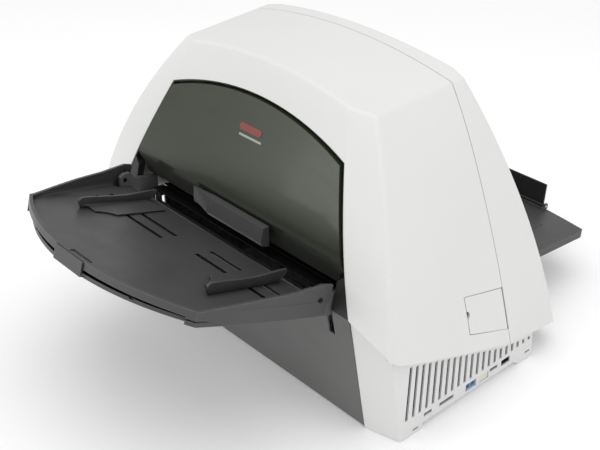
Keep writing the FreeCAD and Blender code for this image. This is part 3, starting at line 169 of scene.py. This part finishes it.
def moulded(name, colour, rough, grain=1500.0, depth=0.00002, mottle=0.05, wear_and_highlight=0.12, specular=0.5,
            crease=(0.006, 0.35, True), crease_shade=0.55, worn_and_lit_edge=1.6):
    """Moulded plastic: a fine spark-eroded grain, faint colour drift, outer edges lightened by rubbing and a
    painted highlight, and hollows darkened with painted shade.
    """
    graph = Graph(name)
    drift = graph.spread(graph.noise(7.0, 3.0), 0.0, 1.0)
    base = graph.mix(drift, rgba(shade(colour, 1.0 - mottle)), rgba(shade(colour, 1.0 + mottle)))
    speck = graph.spread(graph.noise(2600.0, 1.0), 0.0, 0.35, 0.55, 0.75)
    base = graph.mix(speck, base, rgba(shade(colour, 0.93)))
    # outer edges lightened partly as rubbing, partly as a painted highlight
    base = graph.mix(edge_wear_and_highlight(graph, 0.0012, wear_and_highlight), base, rgba(shade(colour, worn_and_lit_edge)))
    # painted shade: hollows, creases and recesses darkened by how shut in they are
    base = graph.mix(painted_crevice_shade(graph, *crease), base, rgba(shade(colour, crease_shade)))
    smudge = graph.noise(24.0, 5.0, 0.6)
    roughness = graph.spread(smudge, rough - 0.05, rough + 0.06)
    fine = graph.noise(grain, 3.0, 0.6)
    wavy = graph.noise(35.0, 2.0)
    normal = graph.bump(fine, depth, graph.bump(wavy, 0.00004))
    return graph.set(Base_Color=base, Roughness=roughness, Normal=normal, Specular_IOR_Level=specular)


def fascia(name, colour, rough):
    """Glossy tinted sheet, which turns matt on the strip below its crease, where it is painted darker as shade.
    """
    material = lacquered(name, colour, rough, coat=0.12)
    graph = Graph.of(material)
    height = graph.add("ShaderNodeSeparateXYZ", None, Vector=graph.place).outputs["Z"]
    # painted shade: the down-facing strip below the crease painted darker
    low = graph.spread(height, 1.0, 0.0, CREASE_LOW, CREASE_HIGH)
    painted = graph.shader.inputs["Base Color"].links[0].from_socket
    base = graph.mix(low, painted, rgba(shade(colour, 0.3)))
    wiped = graph.shader.inputs["Roughness"].links[0].from_socket
    matt = graph.math("MAXIMUM", wiped, graph.math("MULTIPLY", low, 0.8))
    return graph.set(Base_Color=base, Roughness=matt, Specular_Tint=(0.95, 1.0, 0.89, 1.0))


def lacquered(name, colour, rough, coat=0.4, haze=0.03):
    """Smooth glossy plastic with faint wipe marks and specks of dust."""
    graph = Graph(name)
    drift = graph.spread(graph.noise(5.0, 2.0), 0.0, 1.0)
    base = graph.mix(drift, rgba(shade(colour, 0.95)), rgba(shade(colour, 1.05)))
    dust = graph.spread(graph.noise(1400.0, 2.0), 0.0, 0.5, 0.66, 0.8)
    base = graph.mix(dust, base, rgba(shade(colour, 1.5)))
    wiped = graph.noise(60.0, 5.0, 0.6, stretch=(0.25, 1.0, 1.0))
    roughness = graph.spread(wiped, rough - haze, rough + haze)
    normal = graph.bump(graph.noise(40.0, 2.0), 0.00003)
    return graph.set(Base_Color=base, Roughness=roughness, Normal=normal, Coat_Weight=coat, Coat_Roughness=0.08)


def steel(name, colour, rough, brushed=(1.0, 1.0, 1.0), spots=0.0):
    """Bare or plated steel with fine brushing and slight tarnish."""
    graph = Graph(name)
    lines = graph.noise(900.0, 4.0, 0.7, stretch=brushed)
    cloud = graph.spread(graph.noise(30.0, 4.0), 0.0, 1.0)
    base = graph.mix(cloud, rgba(shade(colour, 0.86)), rgba(colour))
    if spots:
        spangle = graph.add("ShaderNodeTexVoronoi", None, Vector=graph.place, Scale=spots).outputs["Color"]
        base = graph.mix(0.12, base, spangle, "OVERLAY")
    roughness = graph.spread(lines, rough - 0.08, rough + 0.1)
    normal = graph.bump(lines, 0.00001)
    return graph.set(Base_Color=base, Metallic=1.0, Roughness=roughness, Normal=normal)


def rubber(name, colour, rough, grain=1100.0):
    """Matt rubber with a dusty bloom and ground texture."""
    graph = Graph(name)
    bloom = graph.spread(graph.noise(55.0, 5.0), 0.0, 0.5)
    base = graph.mix(bloom, rgba(colour), rgba(shade(colour, 1.7)))
    normal = graph.bump(graph.noise(grain, 3.0), 0.00006)
    roughness = graph.spread(graph.noise(90.0, 3.0), rough - 0.06, rough + 0.05)
    return graph.set(Base_Color=base, Roughness=roughness, Normal=normal, Specular_IOR_Level=0.3)


def clear_glass(name):
    """A clean scan window with a trace of smear."""
    graph = Graph(name)
    smear = graph.spread(graph.noise(45.0, 4.0), 0.02, 0.07)
    tint = graph.mix(graph.noise(9.0), (0.86, 0.93, 0.9, 1.0), (0.9, 0.95, 0.93, 1.0))
    return graph.set(Base_Color=tint, Roughness=smear, Transmission_Weight=0.9, IOR=1.5)


def circuit(name):
    """Solder mask over faint copper tracks."""
    graph = Graph(name)
    brick = graph.add("ShaderNodeTexBrick", None, Vector=graph.place, Scale=90.0, Mortar_Size=0.06)
    lit = graph.mix(brick.outputs["Fac"], (0.015, 0.12, 0.05, 1.0), (0.03, 0.2, 0.09, 1.0))
    patch = graph.mix(graph.spread(graph.noise(60.0), 0.0, 1.0), lit, (0.02, 0.15, 0.06, 1.0))
    normal = graph.bump(brick.outputs["Fac"], 0.00004)
    roughness = graph.spread(graph.noise(70.0), 0.3, 0.45)
    return graph.set(Base_Color=patch, Roughness=roughness, Normal=normal)


WHITE = (0.70, 0.70, 0.69)
BASE_WHITE = (0.69, 0.69, 0.685)
FASCIA = (0.016, 0.0212, 0.0105)
PANEL = (0.11, 0.11, 0.108)
TRAY = (0.048, 0.048, 0.049)
GRIP = (0.06, 0.06, 0.06)
NEAR_BLACK = (0.010, 0.010, 0.010)

MATERIALS = {
    "housing_white": moulded("housing_white", WHITE, 0.42, mottle=0.012, wear_and_highlight=0.05),
    "base_white": moulded("base_white", BASE_WHITE, 0.45, mottle=0.012, wear_and_highlight=0.05),
    "fascia_dark": fascia("fascia_dark", FASCIA, 0.31),
    "bezel_dark": moulded("bezel_dark", NEAR_BLACK, 0.5, mottle=0.1, wear_and_highlight=0.2),
    "panel_dark": moulded("panel_dark", PANEL, 0.48, wear_and_highlight=0.15),
    # painted shade: the tray's recesses and slots go near black; painted highlight: its rims carry a bright line
    "tray_dark": moulded("tray_dark", TRAY, 0.42, grain=1200.0, depth=0.00003, wear_and_highlight=0.9,
                         crease=(0.012, 1.0, False), crease_shade=0.08, worn_and_lit_edge=3.6),
    "grip_grey": moulded("grip_grey", GRIP, 0.36, wear_and_highlight=0.25),
    "stop_black": moulded("stop_black", (0.012, 0.012, 0.013), 0.4, wear_and_highlight=0.3),
    "badge_light": lacquered("badge_light", (0.20, 0.028, 0.018), 0.4, coat=0.1),
    "connector_blue": lacquered("connector_blue", (0.18, 0.30, 0.50), 0.35, coat=0.1),
    "cover_beige": moulded("cover_beige", (0.66, 0.64, 0.57), 0.5, mottle=0.02, wear_and_highlight=0.05),
    "inlet_black": moulded("inlet_black", (0.014, 0.014, 0.014), 0.35, wear_and_highlight=0.2),
    "feet_rubber": rubber("feet_rubber", (0.02, 0.02, 0.02), 0.75),
    "roller_rubber": rubber("roller_rubber", (0.035, 0.036, 0.04), 0.7, grain=700.0),
    "belt_rubber": rubber("belt_rubber", (0.015, 0.015, 0.015), 0.65, grain=500.0),
    "idler_plastic": moulded("idler_plastic", (0.52, 0.52, 0.5), 0.4, mottle=0.03),
    "pin_steel": steel("pin_steel", (0.62, 0.62, 0.62), 0.24, brushed=(0.1, 1.0, 1.0)),
    "frame_steel": steel("frame_steel", (0.56, 0.57, 0.58), 0.34, spots=140.0),
    "motor_black": moulded("motor_black", (0.02, 0.02, 0.021), 0.4, wear_and_highlight=0.3),
    "scan_glass": clear_glass("scan_glass"),
    "board_green": circuit("board_green"),
    "fan_black": moulded("fan_black", (0.015, 0.015, 0.015), 0.42, wear_and_highlight=0.2),
}

# blackened steel for the pins; on the feed roller shaft, deep in the feed gap, it stands in as painted shade
BLACKED_AND_PAINTED_SHADE = steel("pin_blacked_and_painted_shade", (0.035, 0.035, 0.036), 0.42)
# painted shade: a near-black, dull finish for inner parts that lie in shade
GAP_PAINTED_SHADE = moulded("gap_painted_shade", (0.006, 0.006, 0.006), 0.75, wear_and_highlight=0.0, specular=0.12)
for node, thing in NODES.items():
    thing.data.materials.clear()
    thing.data.materials.append(MATERIALS[SLOT_OF[node]])


# ---------------------------------------------------------------- finished skins
def finished(node, width, pierced):
    """A part with its outer edges rounded over and its curved faces shaded smooth.

    A pierced part keeps its triangles, because joined faces would cover its holes.
    """
    source = NODES[node]
    mesh = source.data.copy()
    mesh.name = f"{node}_skin"
    work = bmesh.new()
    work.from_mesh(mesh)
    bmesh.ops.remove_doubles(work, verts=work.verts, dist=WELD)
    bmesh.ops.dissolve_degenerate(work, edges=work.edges, dist=WELD)
    if not pierced:
        bmesh.ops.dissolve_limit(work, angle_limit=FLAT_ENOUGH, verts=work.verts, edges=work.edges)
    weights = work.edges.layers.float.new("bevel_weight_edge")
    for edge in work.edges:
        if len(edge.link_faces) == 2 and edge.is_convex and edge.calc_face_angle() > EDGE_ANGLE:
            edge[weights] = 1.0
    work.to_mesh(mesh)
    work.free()
    for polygon in mesh.polygons:
        polygon.use_smooth = True
    piece = bpy.data.objects.new(f"{node}_finished", mesh)
    piece.matrix_world = source.matrix_world
    bpy.context.scene.collection.objects.link(piece)
    bevel = piece.modifiers.new("edges", "BEVEL")
    bevel.width = width
    bevel.segments = EDGE_SEGMENTS
    bevel.limit_method = "WEIGHT"
    bevel.use_clamp_overlap = True
    bevel.harden_normals = True
    bevel.miter_outer = "MITER_ARC"
    weigh = piece.modifiers.new("normals", "WEIGHTED_NORMAL")
    weigh.keep_sharp = True
    shown = piece.evaluated_get(bpy.context.evaluated_depsgraph_get())
    baked = bpy.data.meshes.new_from_object(shown)
    piece.modifiers.clear()
    piece.data = baked
    baked.materials.clear()
    baked.materials.append(MATERIALS[SLOT_OF[node]])
    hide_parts(node)
    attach(piece, BODY_OF[node])


# Millimetres of rounding on each shown part's outer edges.
ROUNDED = {
    "main_housing": 1.0, "rear_housing": 1.0, "side_door": 0.3, "front_cover": 0.7, "cover_grip": 0.9,
    "lower_front_panel": 0.7, "input_tray": 0.9, "tray_extension": 0.8,
    "side_guide_left": 0.9, "side_guide_right": 0.9, "output_tray": 0.8, "end_stop": 0.8,
    "lift_carriage": 0.5, "cover_bezel": 0.3, "port_cover": 0.4, "data_connector": 0.3,
    "power_inlet": 0.5, "badge_plate": 0.3,
}
PIERCED = ("input_tray", "lower_front_panel", "port_cover", "power_inlet", "lift_carriage", "output_tray")
for node, width in ROUNDED.items():
    finished(node, width * MM, node in PIERCED)
# pins: blackened steel; feed roller shaft: blacked as painted shade in the feed gap
for node in ("tray_hinge_pins", "cover_pivot_pins", "output_hinge_pins", "grip_pin", "feed_roller_shaft"):
    NODES[node].data.materials[0] = BLACKED_AND_PAINTED_SHADE
# painted shade: guide plates, tie bars, racks and pinion, seen through the feed gap and tray slots, made near
# black
for node in ("lower_guide_plate", "upper_guide_plate", "cross_tie_bars", "guide_rack_left", "guide_rack_right",
             "guide_pinion"):
    NODES[node].data.materials[0] = GAP_PAINTED_SHADE


# ---------------------------------------------------------------- small pieces of the skin
def skin_frame(node):
    """The middle of a plate's outer face, with the ways across it, up it and out of it."""
    mesh = NODES[node].data
    outward = Vector()
    for polygon in mesh.polygons:
        if polygon.normal.y < -0.3:
            outward += polygon.normal * polygon.area
    outward.x = 0.0
    outward.normalize()
    across = Vector((1.0, 0.0, 0.0))
    up = outward.cross(across)
    if up.z < 0.0:
        up = -up
    points = [vertex.co for vertex in mesh.vertices]
    face = max(point.dot(outward) for point in points)
    middle = sum(points, Vector()) / len(points)
    middle += outward * (face - middle.dot(outward))
    return middle, across, up, outward


def pill(name, place, long, tall, thick, material, body, steps=10):
    """A flat bar with round ends, slightly domed at its rim, laid on a face."""
    middle, across, up, outward = place
    radius = tall / 2
    outline = []
    for side in (1.0, -1.0):
        for index in range(steps + 1):
            turn = math.pi * (index / steps - 0.5)
            outline.append((side * (long / 2 - radius + radius * math.cos(turn)), side * radius * math.sin(turn)))
    rings = [(1.0, -thick), (1.0, thick * 0.6), (0.94, thick)]
    vertices = []
    for scale, lift in rings:
        for x, y in outline:
            inset = radius * (1.0 - scale)
            reach = math.hypot(x, y) or 1.0
            vertices.append(middle + across * (x - inset * x / reach) + up * (y * scale) + outward * lift)
    count = len(outline)
    faces = [tuple(range(count))[::-1], tuple(range(2 * count, 3 * count))]
    for ring in range(2):
        for index in range(count):
            after = (index + 1) % count
            low, high = ring * count, (ring + 1) * count
            faces.append((low + index, low + after, high + after, high + index))
    mesh = bpy.data.meshes.new(name)
    mesh.from_pydata([tuple(vertex) for vertex in vertices], [], faces)
    mesh.update()
    mesh.materials.append(material)
    piece = bpy.data.objects.new(name, mesh)
    bpy.context.scene.collection.objects.link(piece)
    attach(piece, body)


BADGE = skin_frame("badge_plate")
BAR_PALE = lacquered("bar_pale", (0.34, 0.35, 0.32), 0.4, coat=0.1)
under_badge = (BADGE[0] + BADGE[1] * 2 * MM - BADGE[2] * 10.5 * MM - BADGE[3] * 1.2 * MM, *BADGE[1:])
pill("badge_bar", under_badge, 42 * MM, 3.0 * MM, 0.5 * MM, BAR_PALE, BODY_OF["front_cover"])


# ---------------------------------------------------------------- camera, light and floor
def aim(thing, target):
    """Point a camera or light at a spot."""
    thing.rotation_euler = (Vector(target) - thing.location).to_track_quat("-Z", "Y").to_euler()


def make_camera():
    """A camera at the photograph's angle."""
    data = bpy.data.cameras.new("camera")
    data.lens = 64.72
    data.sensor_width = 36.0
    data.shift_x = 0.0183
    data.shift_y = -0.045
    camera = bpy.data.objects.new("camera", data)
    azimuth, elevation, distance = math.radians(48.1), math.radians(29.1), 1.4304
    target = Vector((0.0, -0.0454, 0.2))
    level = math.cos(elevation)
    back = Vector((math.sin(azimuth) * level, -math.cos(azimuth) * level, math.sin(elevation)))
    camera.location = target + back * distance
    aim(camera, target)
    bpy.context.scene.collection.objects.link(camera)
    bpy.context.scene.camera = camera


def area_light(name, location, target, size, power, colour=(1.0, 1.0, 1.0)):
    """A soft square light."""
    data = bpy.data.lights.new(name, "AREA")
    data.energy = power
    data.size = size
    data.color = colour
    light = bpy.data.objects.new(name, data)
    light.location = location
    aim(light, target)
    bpy.context.scene.collection.objects.link(light)


def make_studio():
    """Even soft light from above and both sides, over a pale floor."""
    scene = bpy.context.scene
    scene.view_settings.view_transform = "Standard"
    world = bpy.data.worlds.new("studio")
    world.use_nodes = True
    world.node_tree.nodes["Background"].inputs["Color"].default_value = (1.0, 1.0, 1.0, 1.0)
    world.node_tree.nodes["Background"].inputs["Strength"].default_value = 0.75
    scene.world = world
    middle = (0.0, 0.0, 0.2)
    area_light("overhead", (0.3, -0.2, 2.4), middle, 2.2, 20.0)
    area_light("front_left", (-1.3, -2.64, 0.8), middle, 1.3, 16.5)
    area_light("right", (2.4, 0.2, 1.5), middle, 1.6, 8.0)
    bpy.ops.mesh.primitive_plane_add(size=30.0)
    floor = bpy.context.object
    floor.name = "floor"
    graph = Graph("floor_pale")
    tone = graph.mix(graph.noise(1.5), (0.9, 0.9, 0.9, 1.0), (0.93, 0.93, 0.93, 1.0))
    lift = {"Emission_Color": (1.0, 1.0, 1.0, 1.0), "Emission_Strength": 0.1}
    floor.data.materials.append(graph.set(Base_Color=tone, Roughness=0.8, **lift))


make_camera()
make_studio()
